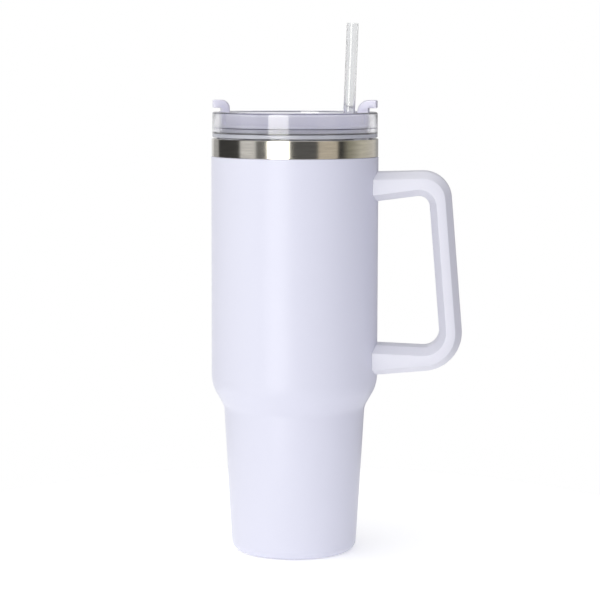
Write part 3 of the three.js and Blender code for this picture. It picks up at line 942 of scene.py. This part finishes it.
def straw_hole_cutter():
    radius = GROMMET[0] + 0.2
    top = GROMMET[1] + 1
    profile = [(0, HOLE_FOOT), (radius, HOLE_FOOT), (radius, top), (0, top)]
    return turned("cutter", profile, FINISHES["cover"], 64, placed=straw_place())


def seal_sheet():
    """Flat silicone ring under the cover, pierced where the cover is."""
    inner, outer = SEAL
    low, high = COVER_UNDER - 0.7, COVER_UNDER + 0.5
    profile = [(inner, low), (outer, low), (outer, high), (inner, high)]
    ring = turned("seal_sheet", profile, FINISHES["silicone"], 160)
    holes = [straw_hole_cutter(), prism(sip_outline(), low - 2, high + 2)]
    return combined(ring, holes, "DIFFERENCE")


def grommet():
    """Flanged silicone sleeve that grips the straw."""
    bore = STRAW_OUT + 0.1
    radius, flange, top = GROMMET
    profile = [
        (bore, COVER_UNDER + 1, 0.3), (radius, COVER_UNDER + 1, 0.3), (radius, flange),
        (BOSS[0], flange, 0.2), (BOSS[0], top, 0.6), (bore, top, 0.5),
    ]
    return turned("grommet", rounded(profile, 15), FINISHES["silicone"], 96, placed=straw_place())


def drinking_straw():
    """Clear straw with softly rounded ends."""
    profile = [
        (STRAW_BORE, STRAW_FOOT, 0.25), (STRAW_OUT, STRAW_FOOT, 0.25),
        (STRAW_OUT, STRAW_TOP, 0.25), (STRAW_BORE, STRAW_TOP, 0.25),
    ]
    return turned("drinking_straw", rounded(profile, 15), FINISHES["straw"], 64, placed=straw_place())


# ---- Light, floor and camera -------------------------------------------------------------------


# Surroundings, by the angle in degrees from the way to the camera, negative on the left. A panel
# is the angle where it begins, its brightness and how wide that edge is blurred. The fill drifts
# from each of its brightnesses to the next.
KEY = (8, 7.9, 7.2)
PANELS = [
    (-180, 0.9, 0.02), (-152, 0.5, 6), (-130, 0.05, 3), (-81, 0.80, 3), (-55, 0.19, 3),
    (-37, KEY, 2), (-9, 0.11, 2), (32, (0.66, 0.60, 0.50), 3), (61, 0.05, 3),
    (74, (0.34, 0.33, 0.27), 12), (93, (0.64, 0.62, 0.54), 22), (125, (0.72, 0.70, 0.66), 30),
    (146, 0.42, 16),
]
FILL = [
    (-180, (0.7, 0.7, 0.7)), (-120, (0.9, 0.9, 0.9)), (-60, (1.2, 1.2, 1.2)),
    (-10, (1.28, 1.28, 1.27)), (25, (1.35, 1.35, 1.44)), (50, (0.57, 0.57, 0.68)),
    (68, (0.03, 0.03, 0.06)), (145, (0.03, 0.03, 0.06)), (170, (0.35, 0.35, 0.35)),
]
CEILING = (1.15, 1.15, 1.2, 1)
OVERHEAD_FILL = 1.15

# What is seen through clear walls, away from the white straight behind
ASIDE_LEFT = 0.42
ASIDE_RIGHT = (0.22, 0.22, 0.25, 1)
STEEP = 0.08
BELOW = 0.95
UNDER_GLASS = 1.45


def panel_stops():
    """The panels as ramp stops, two to each edge."""
    stops = []
    before = None
    for angle, brightness, soft in PANELS:
        colour = brightness if isinstance(brightness, tuple) else (brightness,) * 3
        if before is not None:
            stops.append(((angle - soft / 2) / 360 + 0.5, (*before, 1)))
        stops.append(((angle + soft / 2) / 360 + 0.5, (*colour, 1)))
        before = colour
    return stops


def fill_stops():
    return [(angle / 360 + 0.5, (*colour, 1)) for angle, colour in FILL]


def studio():
    """White surroundings for the eye and for what is seen through clear walls.

    What the surfaces mirror is a ring of soft panels and dark gaps round the camera, and what
    lights them is a gentle fill that is brighter on the left.
    """
    world = bpy.data.worlds.new("studio")
    bpy.context.scene.world = world
    world.use_nodes = True
    tree = world.node_tree
    tree.nodes.clear()
    start = Wire(tree)
    ray = start.node("ShaderNodeTexCoord").of("Generated")
    parts = start.node("ShaderNodeSeparateXYZ", {}, {"Vector": ray})
    x, y, z = parts, parts.of("Y"), parts.of("Z")
    toward = math.radians(CAMERA_AZIMUTH)
    side = x * math.cos(toward) + y * math.sin(toward)
    front = x * math.sin(toward) - y * math.cos(toward)
    around = start.maths("ARCTAN2", side, front) / TURN + 0.5
    overhead = z.eased(0.6, 0.95)
    panels = start.node("ShaderNodeValToRGB", {"stops": panel_stops()}, {"Fac": around})
    fill = start.node("ShaderNodeValToRGB", {"stops": fill_stops()}, {"Fac": around})
    mirrored = overhead.blend(panels, CEILING)
    lit = overhead.blend(fill, grey(OVERHEAD_FILL))
    path = start.node("ShaderNodeLightPath")
    glossy = path.of("Is Reflection Ray") * (1 - path.of("Is Diffuse Ray"))
    rightward = start.node(
        "ShaderNodeMapRange", {}, {"Value": side, "From Min": -0.5, "From Max": 0.5}
    )
    aside = rightward.blend(grey(ASIDE_LEFT), ASIDE_RIGHT)
    aside = z.eased(0.2, 0.45).blend(aside, grey(STEEP))
    aside = z.eased(-0.12, -0.25).blend(aside, grey(BELOW))
    through = front.eased(-0.6, -0.85).blend(aside, grey(1))
    lighting = start.maths("GREATER_THAN", path.of("Diffuse Depth"), 0.5)
    through = lighting.blend(through, grey(UNDER_GLASS))
    seen = path.of("Is Transmission Ray").blend(lit, through)
    seen = path.of("Is Camera Ray").blend(seen, grey(1))
    seen = glossy.blend(seen, mirrored)
    background = start.node("ShaderNodeBackground", {}, {"Color": seen, "Strength": 1.0})
    start.node("ShaderNodeOutputWorld", {}, {"Surface": background})


def floor():
    """Round pale floor under the tumbler."""

    def varying(start):
        mottled = noise(start, object_place(start), 3)
        return {"Base Color": mottled.blend(grey(0.93), grey(0.95))}

    pale = finish("pale floor", varying, Roughness=0.7, Emission_Color=grey(1), Emission_Strength=0.3)
    ground = turned("floor", [(0, -1), (FLOOR_RADIUS, -1), (FLOOR_RADIUS, 0), (0, 0)], pale, 96)
    ground.location.z = -0.0002


def camera():
    """Camera in front of the cup, turned a little toward the handle."""
    lens = bpy.data.cameras.new("camera")
    lens.lens = CAMERA_LENS
    lens.sensor_width = 36
    seen_from = bpy.data.objects.new("camera", lens)
    bpy.context.scene.collection.objects.link(seen_from)
    azimuth = math.radians(CAMERA_AZIMUTH)
    place = Matrix.Translation((
        CAMERA_DISTANCE * MM * math.sin(azimuth),
        -CAMERA_DISTANCE * MM * math.cos(azimuth),
        CAMERA_HEIGHT * MM,
    ))
    facing = (
        Matrix.Rotation(math.radians(CAMERA_AZIMUTH + CAMERA_YAW), 4, "Z")
        @ Matrix.Rotation(math.radians(90 + CAMERA_PITCH), 4, "X")
        @ Matrix.Rotation(math.radians(CAMERA_ROLL), 4, "Z")
    )
    seen_from.matrix_world = place @ facing
    bpy.context.scene.camera = seen_from


# ---- Assembly ----------------------------------------------------------------------------------

camera()
studio()
floor()
bpy.context.scene.view_settings.view_transform = "Standard"

PIECES = [
    (cup_shell(), "cup", "coated_steel", ["outer_shell"]),
    (steel_liner(), "cup", "bare_steel", ["inner_liner"]),
    (base_disc(), "cup", "bare_steel", ["base_cap"]),
    (handle_back(), "cup", "lavender_plastic", ["handle_shell"]),
    (handle_grip(), "cup", "lavender_plastic", ["handle_inner_cover"]),
    (screw_plug("plug_upper", "screw_plug_upper"), "cup", "lavender_plastic", ["screw_plug_upper"]),
    (screw_plug("plug_lower", "screw_plug_lower"), "cup", "lavender_plastic", ["screw_plug_lower"]),
    (clear_lid(), "lid", "clear_plastic", ["lid_base"]),
    (lid_skirt(), "lid", "clear_plastic", ["lid_base"]),
    (mouth_gasket(), "lid", "silicone", ["lid_gasket"]),
    (pivot_button(), "lid", "lavender_plastic", ["pivot_cap"]),
    (post_ring(), "lid", "silicone", ["pivot_o_ring"]),
    (hooked_cover(), "cover", "lavender_plastic", ["rotating_cover"]),
    (seal_sheet(), "cover", "silicone", ["cover_underseal"]),
    (grommet(), "cover", "silicone", ["straw_grommet"]),
    (drinking_straw(), "straw", "clear_plastic", ["straw"]),
]
for piece, body, slot, nodes in PIECES:
    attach(piece, body)
    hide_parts(*nodes)

HIDDEN_STEEL = [
    "vacuum_base", "vacuum_seal_bead", "getter_capsule", "handle_bracket_upper",
    "handle_bracket_lower", "handle_screw_upper", "handle_screw_lower",
]
for node in HIDDEN_STEEL:
    frame["nodes"][node].data.materials.clear()
    frame["nodes"][node].data.materials.append(FINISHES["dull steel"])
